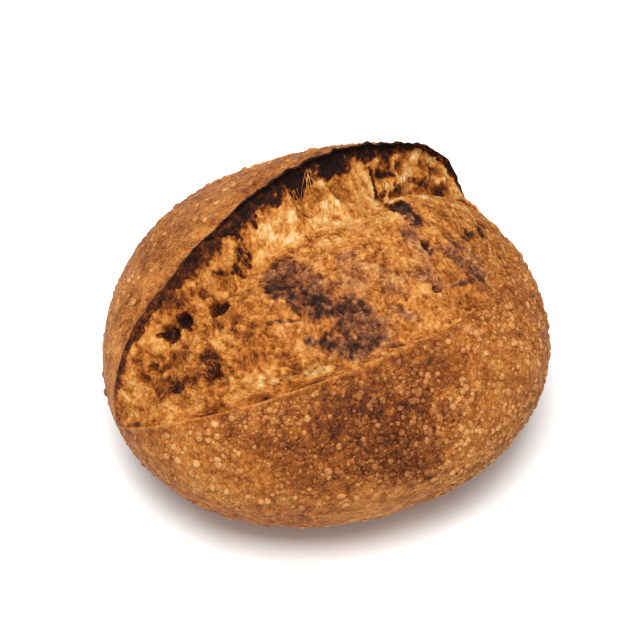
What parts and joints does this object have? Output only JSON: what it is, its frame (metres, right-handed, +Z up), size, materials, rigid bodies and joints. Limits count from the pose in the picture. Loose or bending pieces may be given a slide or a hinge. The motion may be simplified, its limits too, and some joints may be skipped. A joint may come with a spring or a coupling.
{
  "type": "sourdough loaf",
  "caption": "Round sourdough loaf with one long score, opened into a raised curling ear over a torn, swollen bloom of crumb.",
  "frame": {"origin": "centre of the loaf's outline, at the level of its flat base", "axes": "+X along the score towards its right end as seen from the crease's side, +Y towards the ear's side, +Z up"},
  "size_m": [0.2264, 0.2144, 0.1251],
  "materials": {
    "crust": "matte"
  },
  "bodies": {
    "root": {"loaf": "crust"}
  },
  "joints": []
}
